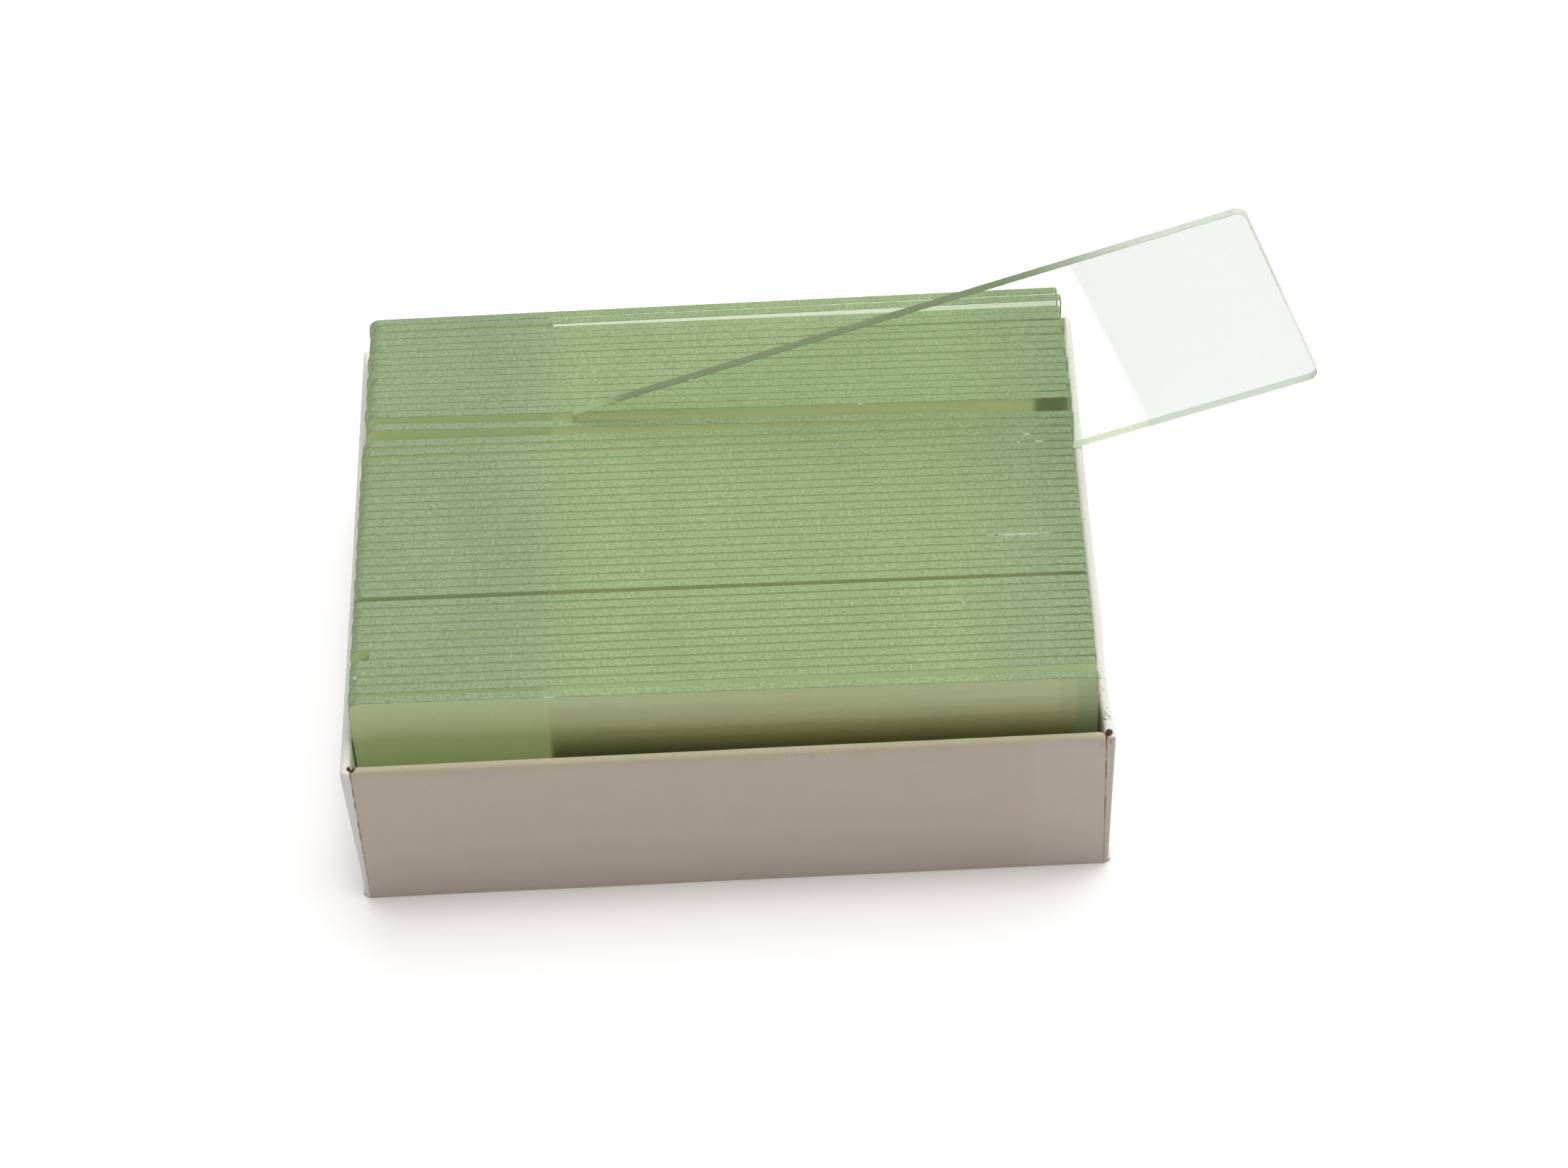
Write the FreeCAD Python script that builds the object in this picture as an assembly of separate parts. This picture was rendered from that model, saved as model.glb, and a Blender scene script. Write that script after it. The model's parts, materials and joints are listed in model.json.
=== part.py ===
import FreeCAD, Part
import math
import os

# An open paperboard tray, half of a microscope-slide box, with its slides.
# Millimetres, +Z up. The origin is the centre of the tray's underside, +X runs
# along the slides towards their clear ends, and -Y is the tray's front.

# ---- driving dimensions -------------------------------------------------

# A slide: a 1 x 3 inch glass plate that stands in the tray on a long edge.
SLIDE_LENGTH = 76.2
SLIDE_WIDTH = 25.4
SLIDE_THICKNESS = 1.0
FROSTED_CORNER_RADIUS = 1.2
CLEAR_CORNER_RADIUS = 0.4

# The tray is folded from one sheet of board. Each wall is rolled over at the
# rim, so it has an outer leaf, a round rim and an inner leaf.
BOARD = 0.35
WALL = 1.1
TRAY_WIDTH = 79.2
TRAY_DEPTH = 62.6
TRAY_HEIGHT = 20.0
FLAP_LENGTH = 14.0
FLAP_HEIGHT = 18.0

# Gaps along Y, each as (at the slides' left ends, at their right ends). The two
# differ because the slides stand slightly turned in the tray. A run is how many
# gaps in a row are alike, then the gap at the left and the gap at the right.
GAP_TO_FRONT_WALL = (3.09, 1.96)
RUNS_IN_FRONT_OF_SLOT = [
    (1, 0.38, 0.96),
    (10, 0.19, 0.145),
    (1, 0.53, 0.43),
    (17, 0.143, 0.136),
    (1, 0.43, 0.15),
    (1, 0.37, 0.24),
    (1, 1.55, 0.11),
]
GAP_AT_SLOT = (0.92, 2.03)
RUNS_BEHIND_SLOT = [
    (6, 0.03, 0.094),
    (1, 0.03, 0.25),
    (1, 0.03, 0.094),
    (1, 0.03, 0.25),
    (1, 0.03, 0.094),
    (1, 0.03, 0.25),
    (1, 0.03, 0.094),
    (1, 0.20, 0.85),
    (1, 0.03, 0.094),
]

# How far a slide sits off the tray's middle along X: a mean and a spread for
# the slides in front of the slot and for those behind it.
END_SHIFT_IN_FRONT = (-0.25, 0.06)
END_SHIFT_BEHIND = (0.0, 0.20)
END_SHIFT_BESIDE_SLOT = 0.15

# One slide has lost the upper corner of its frosted end.
BROKEN_SLIDE = 6
BROKEN_LENGTH = 2.0
BROKEN_DEPTH = 2.6

# The drawn slide is turned end for end, leans on the right wall's rim and
# stands out of the slot towards the right.
DRAWN_TILT = math.radians(20.9)
DRAWN_REACH = 27.4
DRAWN_CLEARANCE = 0.1
RIM_CLEARANCE = 0.05

PARTS_FOLDER = "parts"

# ---- derived sizes ------------------------------------------------------

HALF_WIDTH = TRAY_WIDTH / 2
HALF_DEPTH = TRAY_DEPTH / 2
INNER_HALF_WIDTH = HALF_WIDTH - WALL
INNER_HALF_DEPTH = HALF_DEPTH - WALL
RIM_RADIUS = WALL / 2
RIM_CENTRE_HEIGHT = TRAY_HEIGHT - RIM_RADIUS
FLOOR_HEIGHT = BOARD


def vector(x, y, z):
    return FreeCAD.Vector(x, y, z)


# ---- slides -------------------------------------------------------------

def slide_outline(left_radius, right_radius):
    """The slide's rounded rectangle in the XZ plane, from (0, 0) up and right."""
    right = SLIDE_LENGTH
    top = SLIDE_WIDTH
    corners = [
        (left_radius, left_radius, left_radius, 180),
        (right - right_radius, right_radius, right_radius, 270),
        (right - right_radius, top - right_radius, right_radius, 0),
        (left_radius, top - left_radius, left_radius, 90),
    ]
    arcs = []
    for centre_x, centre_z, radius, first_degrees in corners:
        points = []
        for degrees in (first_degrees, first_degrees + 45, first_degrees + 90):
            angle = math.radians(degrees)
            x = centre_x + radius * math.cos(angle)
            z = centre_z + radius * math.sin(angle)
            points.append(vector(x, 0, z))
        arcs.append(points)
    edges = []
    for index, points in enumerate(arcs):
        following = arcs[(index + 1) % len(arcs)]
        edges.append(Part.Arc(*points).toShape())
        edges.append(Part.LineSegment(points[2], following[0]).toShape())
    return Part.Wire(edges)


def make_slide(left_radius, right_radius):
    """A slide with its front face on Y = 0 and its lower left corner at the origin."""
    face = Part.Face(slide_outline(left_radius, right_radius))
    return face.extrude(vector(0, SLIDE_THICKNESS, 0))


def break_corner(slide):
    """Cut a slanted piece off the upper left corner of an unplaced slide."""
    overshoot = 1.0
    slope = BROKEN_DEPTH / BROKEN_LENGTH
    top = SLIDE_WIDTH + overshoot
    corners = [
        vector(-overshoot, -overshoot, SLIDE_WIDTH - BROKEN_DEPTH - overshoot * slope),
        vector(BROKEN_LENGTH + overshoot / slope, -overshoot, top),
        vector(-overshoot, -overshoot, top),
    ]
    wire = Part.makePolygon(corners + corners[:1])
    wedge = Part.Face(wire).extrude(vector(0, SLIDE_THICKNESS + 2 * overshoot, 0))
    return slide.cut(wedge)


class Place:
    """Where a packed slide stands: the Y of its front face at its two ends."""

    def __init__(self, number, left_y, right_y, shift):
        self.number = number
        self.left_y = left_y
        self.right_y = right_y
        self.shift = shift
        self.turn = math.atan2(right_y - left_y, SLIDE_LENGTH)

    def depth(self):
        """The slide's thickness, measured along Y."""
        return SLIDE_THICKNESS / math.cos(self.turn)

    def corner(self):
        """The lower left corner of the front face, in the tray's frame."""
        middle_y = (self.left_y + self.right_y) / 2
        half = SLIDE_LENGTH / 2
        x = self.shift - half * math.cos(self.turn)
        y = middle_y - half * math.sin(self.turn)
        return vector(x, y, FLOOR_HEIGHT)


def end_shift(number, mean_and_spread):
    """A repeatable small offset along X, different for each slide."""
    mean, spread = mean_and_spread
    return mean + spread * math.sin(2.4 * number)


def pack_run(first_number, left_y, right_y, runs, mean_and_spread):
    """Places for slides packed one behind the other from the given front face."""
    places = []
    number = first_number
    places.append(Place(number, left_y, right_y, end_shift(number, mean_and_spread)))
    for count, left_gap, right_gap in runs:
        for _ in range(count):
            depth = places[-1].depth()
            left_y = left_y + depth + left_gap
            right_y = right_y + depth + right_gap
            number = number + 1
            shift = end_shift(number, mean_and_spread)
            places.append(Place(number, left_y, right_y, shift))
    return places


def pack_slides():
    """Places for the slides in front of the slot and for those behind it."""
    inner_front = -INNER_HALF_DEPTH
    left_y = inner_front + GAP_TO_FRONT_WALL[0]
    right_y = inner_front + GAP_TO_FRONT_WALL[1]
    in_front = pack_run(1, left_y, right_y, RUNS_IN_FRONT_OF_SLOT, END_SHIFT_IN_FRONT)
    beside = in_front[-1]
    beside.shift = END_SHIFT_BESIDE_SLOT
    left_y = beside.left_y + beside.depth() + GAP_AT_SLOT[0]
    right_y = beside.right_y + beside.depth() + GAP_AT_SLOT[1]
    first_behind = beside.number + 2
    behind = pack_run(first_behind, left_y, right_y, RUNS_BEHIND_SLOT, END_SHIFT_BEHIND)
    return in_front, behind


def place_packed_slide(place):
    slide = make_slide(FROSTED_CORNER_RADIUS, CLEAR_CORNER_RADIUS)
    if place.number == BROKEN_SLIDE:
        slide = break_corner(slide)
    slide.rotate(vector(0, 0, 0), vector(0, 0, 1), math.degrees(place.turn))
    slide.translate(place.corner())
    return slide


def place_drawn_slide(neighbour):
    """The drawn slide, parallel to the slide in front of it and tilted in its plane."""
    slide = make_slide(CLEAR_CORNER_RADIUS, FROSTED_CORNER_RADIUS)
    # Its lower edge lies on the round rim of the right wall.
    slide.translate(vector(DRAWN_REACH - SLIDE_LENGTH, 0, RIM_RADIUS + RIM_CLEARANCE))
    slide.rotate(vector(0, 0, 0), vector(0, 1, 0), -math.degrees(DRAWN_TILT))
    slide.rotate(vector(0, 0, 0), vector(0, 0, 1), math.degrees(neighbour.turn))
    rim_x = HALF_WIDTH - RIM_RADIUS
    middle_y = (neighbour.left_y + neighbour.right_y) / 2
    front_y = middle_y + math.tan(neighbour.turn) * (rim_x - neighbour.shift)
    rear_y = front_y + neighbour.depth() + DRAWN_CLEARANCE
    slide.translate(vector(rim_x, rear_y, RIM_CENTRE_HEIGHT))
    return slide


# ---- tray ---------------------------------------------------------------

def wall_profile():
    """Section of a rolled-over wall: u runs inwards from its outer face, z runs up."""
    rim_z = RIM_CENTRE_HEIGHT
    inner_radius = RIM_RADIUS - BOARD
    points = {
        "outer foot": (0, 0),
        "outer rim": (0, rim_z),
        "rim top": (RIM_RADIUS, TRAY_HEIGHT),
        "inner rim": (WALL, rim_z),
        "inner foot": (WALL, BOARD),
        "inner foot back": (WALL - BOARD, BOARD),
        "inner leaf back": (WALL - BOARD, rim_z),
        "fold": (RIM_RADIUS, rim_z + inner_radius),
        "outer leaf back": (BOARD, rim_z),
        "outer foot back": (BOARD, 0),
    }
    at = {name: vector(u, 0, z) for name, (u, z) in points.items()}
    edges = [
        Part.LineSegment(at["outer foot"], at["outer rim"]).toShape(),
        Part.Arc(at["outer rim"], at["rim top"], at["inner rim"]).toShape(),
        Part.LineSegment(at["inner rim"], at["inner foot"]).toShape(),
        Part.LineSegment(at["inner foot"], at["inner foot back"]).toShape(),
        Part.LineSegment(at["inner foot back"], at["inner leaf back"]).toShape(),
        Part.Arc(at["inner leaf back"], at["fold"], at["outer leaf back"]).toShape(),
        Part.LineSegment(at["outer leaf back"], at["outer foot back"]).toShape(),
        Part.LineSegment(at["outer foot back"], at["outer foot"]).toShape(),
    ]
    return Part.Face(Part.Wire(edges))


def make_wall(length, turn_degrees):
    """A wall along Y whose outer face is at X = 0, turned about Z to face its side."""
    wall = wall_profile().extrude(vector(0, length, 0))
    wall.translate(vector(0, -length / 2, 0))
    wall.rotate(vector(0, 0, 0), vector(0, 0, 1), turn_degrees)
    return wall


def close_ends(wall):
    """Add the fold at each end of a side wall, where its outer leaf turns into a flap."""
    strip_y = HALF_DEPTH - WALL / 2
    for y in (-strip_y, strip_y):
        corner = vector(BOARD, y - BOARD / 2, BOARD)
        strip = Part.makeBox(WALL - 2 * BOARD, BOARD, RIM_CENTRE_HEIGHT - BOARD, corner)
        wall = wall.fuse(strip)
    return wall.removeSplitter()


def make_tray_base():
    """The floor panel, which lies between the outer leaves of the four walls."""
    width = TRAY_WIDTH - 2 * BOARD
    depth = TRAY_DEPTH - 2 * BOARD
    return Part.makeBox(width, depth, BOARD, vector(-width / 2, -depth / 2, 0))


def make_walls():
    """The side walls run the tray's full depth and the end walls stand between them."""
    side_wall = close_ends(make_wall(TRAY_DEPTH, 0))
    walls = {
        "left_wall": side_wall.copy(),
        "right_wall": side_wall.copy(),
        "front_wall": make_wall(2 * INNER_HALF_WIDTH, 90),
        "back_wall": make_wall(2 * INNER_HALF_WIDTH, -90),
    }
    walls["left_wall"].translate(vector(-HALF_WIDTH, 0, 0))
    walls["right_wall"].rotate(vector(0, 0, 0), vector(0, 0, 1), 180)
    walls["right_wall"].translate(vector(HALF_WIDTH, 0, 0))
    walls["front_wall"].translate(vector(0, -HALF_DEPTH, 0))
    walls["back_wall"].translate(vector(0, HALF_DEPTH, 0))
    return walls


def make_corner_flaps():
    """The side walls' end flaps, held between the two leaves of each end wall."""
    flaps = {}
    middle_of_wall = HALF_DEPTH - WALL / 2
    for end, y in (("front", -middle_of_wall), ("back", middle_of_wall)):
        for side, x in (("left", -INNER_HALF_WIDTH), ("right", INNER_HALF_WIDTH - FLAP_LENGTH)):
            corner = vector(x, y - BOARD / 2, BOARD)
            flap = Part.makeBox(FLAP_LENGTH, BOARD, FLAP_HEIGHT, corner)
            flaps[end + "_" + side + "_flap"] = flap
    return flaps


# ---- assembly -----------------------------------------------------------

def make_nodes():
    in_front, behind = pack_slides()
    nodes = {"tray_base": make_tray_base()}
    nodes.update(make_walls())
    nodes.update(make_corner_flaps())
    for place in in_front + behind:
        nodes["slide_%02d" % place.number] = place_packed_slide(place)
    nodes["drawn_slide"] = place_drawn_slide(in_front[-1])
    return nodes


def main():
    os.makedirs(PARTS_FOLDER, exist_ok=True)
    for name, shape in make_nodes().items():
        shape.exportStep(os.path.join(PARTS_FOLDER, name + ".step"))


main()
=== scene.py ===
import json
import math
import random

import bmesh
import bpy
from mathutils import Matrix, Vector, noise


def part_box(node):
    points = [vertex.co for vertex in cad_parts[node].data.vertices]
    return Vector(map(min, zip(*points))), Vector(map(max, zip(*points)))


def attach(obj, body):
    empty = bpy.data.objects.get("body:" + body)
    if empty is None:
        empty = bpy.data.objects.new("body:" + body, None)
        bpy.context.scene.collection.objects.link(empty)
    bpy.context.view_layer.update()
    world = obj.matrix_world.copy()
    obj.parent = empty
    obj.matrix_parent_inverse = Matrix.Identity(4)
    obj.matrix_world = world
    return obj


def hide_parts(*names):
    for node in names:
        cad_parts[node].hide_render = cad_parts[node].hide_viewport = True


# The looks of an open tray of microscope slides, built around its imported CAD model.
# Everything is in the row frame: +Z up, +X along the slides, -Y towards the front.
# Sizes are written in millimetres and turned into metres by MM.

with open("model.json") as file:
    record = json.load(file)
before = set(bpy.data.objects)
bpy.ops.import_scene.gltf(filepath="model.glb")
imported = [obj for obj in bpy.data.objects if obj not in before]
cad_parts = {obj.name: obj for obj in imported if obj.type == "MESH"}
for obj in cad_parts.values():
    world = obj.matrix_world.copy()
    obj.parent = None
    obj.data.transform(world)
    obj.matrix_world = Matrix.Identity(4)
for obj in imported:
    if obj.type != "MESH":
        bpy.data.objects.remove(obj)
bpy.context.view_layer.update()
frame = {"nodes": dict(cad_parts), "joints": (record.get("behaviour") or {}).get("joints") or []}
MM = 0.001

# ---- sizes and places ----------------------------------------------------

# Slides, in millimetres.
PACKED_FROST = 20.0
DRAWN_FROST = 19.2
FROSTED_RADIUS = 1.2
CLEAR_RADIUS = 0.4
EDGE_SPACING = 0.4
BEVEL = 0.045
BEVEL_SPREAD = 0.03
BROKEN_SLIDE = 6
BROKEN_LENGTH = 2.0
BROKEN_DEPTH = 2.6
BROKEN_JAG = 0.16
BROKEN_STEPS = 9
DRAWN_SLIDE = 34

# Chips in the slides' upper edges: slide, place along it, half length, depth.
CHIPS = [
    (1, 20.6, 0.8, 0.05),
    (4, 0.6, 0.4, 0.20),
    (10, 63.3, 0.3, 0.14),
    (15, 30.2, 0.3, 0.06),
    (18, 69.8, 3.8, 0.10),
    (24, 42.4, 0.3, 0.12),
    (30, 70.4, 0.3, 0.08),
    (30, 72.5, 0.4, 0.10),
    (31, 71.5, 0.4, 0.10),
    (35, 53.4, 0.3, 0.13),
    (41, 25.0, 0.3, 0.06),
    (DRAWN_SLIDE, 14.2, 0.3, 0.08),
]
# A chip shallower than this keeps the ground edge's material, and only points of the
# outline within this band of a slide's top can be chipped.
CHIP_SHOWS = 0.012
TOP_BAND = 0.2
# How far a chip cuts down the front face, down the edge and into the slide, as shares of
# its depth.
CHIP_CUTS = (1.6, 0.5, 1.2)

# Steps round a slide's or a fold's corner, round a rolled rim and along a wall.
CORNER_STEPS = 7
RIM_STEPS = 8
WALL_STEPS = 72
# How closely a wall's steps crowd towards its ends: 1 is evenly spaced.
END_CROWDING = 1.8

# The tray's board, in millimetres.
BOARD = 0.35
# Heights along a wall's outer leaf, down its inner leaf and up a fold, below the rim.
OUTER_LEVELS = (0, 2, 5, 9, 13, 16, 18)
INNER_LEVELS = (16, 12, 8, 3)
FOLD_LEVELS = (0.3, 3, 6, 9, 12, 15, 18)
SIDE_LEAN = 0.62
LEFT_BOW = 0.06
RIGHT_BOW = 0.3
CORNER_ROUNDING = 0.3
CRUSHED_LENGTH = 0.6
CRUSHED_DEPTH = 0.35
# The rim's unevenness: long waves and short ripples, and the waves of an outer face.
WAVE_DEPTH = 0.05
RIPPLE_DEPTH = 0.025
FACE_WAVE = 0.06
WAVES_PER_MM = 0.06
RIPPLES_PER_MM = 0.35
# The dent in the right wall's rim: its place along the wall, half length and depth.
DENT = (-23.0, 7.0, 0.42)
# Left open between the front or back wall's end and the fold beside it.
END_GAP = 0.015

# Places of painted features in the row frame, in millimetres.
# Bands along an axis, from one side to the other.
WIDE_GAP_Y = (-13.45, -12.7)
SLOT_END_Y = (10.2, 14.0)
BROWN_CORNER_X = (37.6, 38.7)
FOLD_X = (38.46, 38.56)
# Fades along an axis, from where a feature starts to where it is full.
FRONT_GAP_NEAR_Y = (-27.7, -27.4)
FRONT_GAP_FAR_Y = (-25.1, -25.7)
FRONT_GAP_Z = (21.0, 24.5)
SLOT_END_LEFT_X = (33.9, 34.7)
SLOT_END_RIGHT_X = (38.0, 37.6)
BACK_ROWS_Y = (24.0, 27.5)
FROSTED_TOPS_X = (-14.0, -22.0)
CLEAR_TOPS_X = (20.0, 38.0)
DRAWN_PALE_X = (30.0, 48.0)
DRAWN_LOW_END_X = (-9.0, -13.0)
NEARER_ENDS_X = (33.9, 34.0)
NEARER_ENDS_Z = (20.2, 20.4)
FARTHER_ENDS_X = (35.6, 35.8)
RIM_Z = (18.9, 19.6)
RUBBED_RIM_Z = (18.8, 19.7)
CRACKS_X = (37.4, 38.6)
CRACKS_Y = (-20.0, -25.0)
CRACKS_Z = (18.2, 19.0)
BROWN_CORNER_Y = (27.0, 30.5)
FOLD_WEAR_Y = (-30.6, -31.0)
# Where the right wall's front-facing end is given the front wall's painted shade.
RIGHT_END_SHADE_X = (30.0, 32.0)
RIGHT_END_SHADE_Y = (-31.0, -31.2)
# Two gaps lie between slides that turn a little towards the front. Their places along Y
# hold in the middle of the tray, and change with X by these slopes.
FRONT_GAP_SLOPE = 0.0072
WIDE_GAP_SLOPE = 0.0131
# Where the roll of the front wall is open, at its left and its right end, and how far
# from there the dark, the brown core with painted shade in the opening, starts and is full.
HOLES = [(-38.4, -30.6, 19.9), (38.75, -30.6, 19.9)]
HOLE_EDGE = (0.58, 0.34)

# Camera: where it stands, in millimetres, which way it looks, and its lens.
CAMERA_PLACE = Vector((9.9, -313.0, 341.8))
CAMERA_YAW = math.radians(-0.657)
CAMERA_DOWN = math.radians(46.511)
CAMERA_ROLL = math.radians(3.225)
CAMERA_LENS = 96.62
SENSOR_WIDTH = 36.0

# Light, in metres and watts: one broad lamp above and behind the tray, and a dim sky.
LAMP_PLACE = Vector((0.22, 0.34, 0.95))
LAMP_TARGET = Vector((0, 0, 0.02))
LAMP_SIZE = 1.5
LAMP_WATTS = 12.5
SKY_STRENGTH = 0.24

# The pale surface, in metres: its half side, and how far it lies below the tray.
FLOOR_REACH = 3.0
FLOOR_DROP = 0.02 * MM
# The reach of the shade where the tray stands on it, how strongly it glows, and how much
# more the camera sees of that in the shade and in the open.
CONTACT_REACH = 9 * MM
FLOOR_GLOW = 0.14
FLOOR_SEEN = (-0.02, 0.22)


# ---- colours -------------------------------------------------------------

def linear(red, green, blue):
    """A linear colour from 0-255 screen values."""
    values = []
    for value in (red, green, blue):
        share = value / 255
        low = share / 12.92
        high = ((share + 0.055) / 1.055) ** 2.4
        values.append(low if share <= 0.04045 else high)
    return (*values, 1.0)


def grey(value):
    return (value, value, value, 1)


PACKED_EDGE = linear(155, 178, 127)
PACKED_EDGE_PALE = linear(148, 168, 127)
DRAWN_EDGE = linear(132, 150, 112)
DRAWN_EDGE_PALE = linear(228, 235, 220)
PACKED_HAZE = linear(170, 170, 134)
DRAWN_HAZE = linear(200, 210, 190)
PACKED_FROST_COLOUR = linear(172, 184, 142)
# Painted shade: the front wall's board and rim are a warmer, darker copy of the white side board.
SHADED_FRONT_LINER = linear(214, 199, 184)
SHADED_FRONT_RIM = linear(212, 201, 174)
# Painted shade on the right wall's front-facing end, like the front wall's.
RIGHT_END_SHADE = linear(216, 203, 190)
SIDE_LINER = linear(244, 242, 236)
# Painted highlight: the side walls' rim is lighter than their board.
LIT_SIDE_RIM = linear(252, 250, 244)
# Brown for the rubbed and cracked rim, the worn front folds and the brown back corner.
MARKS_BROWN = linear(132, 96, 54)
HOLE_BROWN = linear(84, 56, 28)
DARK_PULP = linear(96, 62, 30)
LIGHT_PULP = linear(168, 132, 88)


# ---- material helpers ----------------------------------------------------

class Nodes:
    """A material's node tree, with short calls for the nodes used here."""

    def __init__(self, name):
        self.material = bpy.data.materials.new(name)
        self.material.use_nodes = True
        self.tree = self.material.node_tree
        self.tree.nodes.clear()
        self.output = self.add("ShaderNodeOutputMaterial")
        self.place = self.add("ShaderNodeTexCoord").outputs["Object"]

    def add(self, kind):
        return self.tree.nodes.new(kind)

    def link(self, source, target):
        self.tree.links.new(source, target)

    def feed(self, target, value):
        if isinstance(value, bpy.types.NodeSocket):
            self.link(value, target)
        else:
            target.default_value = value

    def math(self, operation, first, second=0.0, third=0.0):
        node = self.add("ShaderNodeMath")
        node.operation = operation
        for socket, value in zip(node.inputs, (first, second, third)):
            self.feed(socket, value)
        return node.outputs[0]

    def axis(self, index):
        """One coordinate of the point, in millimetres."""
        node = self.add("ShaderNodeSeparateXYZ")
        self.link(self.place, node.inputs[0])
        return self.math("MULTIPLY", node.outputs[index], 1 / MM)

    def ramp(self, value, start, end, low=0.0, high=1.0, smooth_step=True):
        """A smooth or straight step from low at start to high at end."""
        node = self.add("ShaderNodeMapRange")
        node.interpolation_type = "SMOOTHSTEP" if smooth_step else "LINEAR"
        self.feed(node.inputs["Value"], value)
        node.inputs["From Min"].default_value = start
        node.inputs["From Max"].default_value = end
        node.inputs["To Min"].default_value = low
        node.inputs["To Max"].default_value = high
        return node.outputs["Result"]

    def between(self, value, low, high, soft):
        """1 where value lies between low and high, fading over the width soft outside them."""
        rising = self.ramp(value, low - soft, low)
        return self.math("MULTIPLY", rising, self.ramp(value, high + soft, high))

    def noise(self, size, detail=2.0, roughness=0.5, stretch=(1, 1, 1)):
        """A noise value from 0 to 1 whose features are about size millimetres across."""
        mapping = self.add("ShaderNodeMapping")
        mapping.inputs["Scale"].default_value = stretch
        self.link(self.place, mapping.inputs["Vector"])
        node = self.add("ShaderNodeTexNoise")
        self.link(mapping.outputs[0], node.inputs["Vector"])
        node.inputs["Scale"].default_value = 1 / (size * MM)
        node.inputs["Detail"].default_value = detail
        node.inputs["Roughness"].default_value = roughness
        return node.outputs["Fac"]

    def cells(self, size):
        """The distance to the nearest of random points about size millimetres apart."""
        node = self.add("ShaderNodeTexVoronoi")
        self.link(self.place, node.inputs["Vector"])
        node.inputs["Scale"].default_value = 1 / (size * MM)
        return node.outputs["Distance"]

    def mix(self, share, first, second):
        """A colour between first, at share 0, and second, at share 1."""
        node = self.add("ShaderNodeMix")
        node.data_type = "RGBA"
        self.feed(node.inputs[0], share)
        self.feed(node.inputs[6], first)
        self.feed(node.inputs[7], second)
        return node.outputs[2]

    def along(self, direction):
        """How far the point is along a direction, in millimetres."""
        node = self.add("ShaderNodeVectorMath")
        node.operation = "DOT_PRODUCT"
        self.link(self.place, node.inputs[0])
        node.inputs[1].default_value = direction
        return self.math("MULTIPLY", node.outputs["Value"], 1 / MM)

    def stops(self, value, low, high, colours):
        """A colour that runs through (value, colour) stops, in order, from low to high."""
        node = self.add("ShaderNodeValToRGB")
        self.link(self.ramp(value, low, high, smooth_step=False), node.inputs[0])
        elements = node.color_ramp.elements
        while len(elements) < len(colours):
            elements.new(0.5)
        for element, (place, colour) in zip(elements, colours):
            element.position = (place - low) / (high - low)
            element.color = colour
        return node.outputs["Color"]

    def brighten(self, colour, factor):
        """The colour with its value multiplied by factor."""
        node = self.add("ShaderNodeHueSaturation")
        self.feed(node.inputs["Value"], factor)
        self.feed(node.inputs["Color"], colour)
        return node.outputs[0]

    def bump(self, height, depth):
        """A normal from a height of 0 to 1 that stands for depth millimetres."""
        node = self.add("ShaderNodeBump")
        node.inputs["Strength"].default_value = 1.0
        node.inputs["Distance"].default_value = depth * MM
        self.link(height, node.inputs["Height"])
        return node.outputs[0]

    def principled(self, colour, roughness, normal=None, specular=0.5, glow=None):
        node = self.add("ShaderNodeBsdfPrincipled")
        if glow is not None:
            self.link(glow, node.inputs["Emission Color"])
            node.inputs["Emission Strength"].default_value = 1.0
        self.feed(node.inputs["Base Color"], colour)
        self.feed(node.inputs["Roughness"], roughness)
        node.inputs["Specular IOR Level"].default_value = specular
        if normal is not None:
            self.link(normal, node.inputs["Normal"])
        return node.outputs[0]

    def transparent(self, colour):
        node = self.add("ShaderNodeBsdfTransparent")
        self.feed(node.inputs[0], colour)
        return node.outputs[0]

    def glossy(self, roughness, normal=None):
        node = self.add("ShaderNodeBsdfGlossy")
        node.inputs["Roughness"].default_value = roughness
        if normal is not None:
            self.link(normal, node.inputs["Normal"])
        return node.outputs[0]

    def fresnel(self, ior):
        node = self.add("ShaderNodeFresnel")
        node.inputs["IOR"].default_value = ior
        return node.outputs[0]

    def blend(self, share, first, second):
        """A shader between first, at share 0, and second, at share 1."""
        node = self.add("ShaderNodeMixShader")
        self.feed(node.inputs[0], share)
        self.link(first, node.inputs[1])
        self.link(second, node.inputs[2])
        return node.outputs[0]

    def finish(self, shader):
        self.link(shader, self.output.inputs["Surface"])
        return self.material


# ---- glass ---------------------------------------------------------------

# Light that has come in through the ground upper edges and travels down inside the
# packed glass, as (height in millimetres, colour): it fades towards the floor.
CLEAR_GLOW = [
    (0.0, (0.006, 0.009, 0.004, 1)),
    (13.0, (0.014, 0.019, 0.007, 1)),
    (16.0, (0.036, 0.044, 0.013, 1)),
    (18.0, (0.102, 0.114, 0.030, 1)),
    (19.9, (0.194, 0.201, 0.085, 1)),
    (22.0, (0.234, 0.256, 0.143, 1)),
    (24.7, (0.215, 0.255, 0.132, 1)),
    (25.5, (0.175, 0.220, 0.098, 1)),
]
FROSTED_GLOW = [
    (0.0, (0.020, 0.030, 0.010, 1)),
    (14.0, (0.072, 0.096, 0.034, 1)),
    (18.0, (0.104, 0.133, 0.053, 1)),
    (21.5, (0.110, 0.132, 0.060, 1)),
    (24.7, (0.130, 0.155, 0.080, 1)),
    (25.5, (0.145, 0.180, 0.092, 1)),
]
# The light on the glass in the gap behind the front slide.
GAP_GLOW = (0.185, 0.262, 0.142, 1)
# The greener light at the clear ends, where the slides' ends show through the glass.
END_GLOW = (0.085, 0.135, 0.062, 1)
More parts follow.
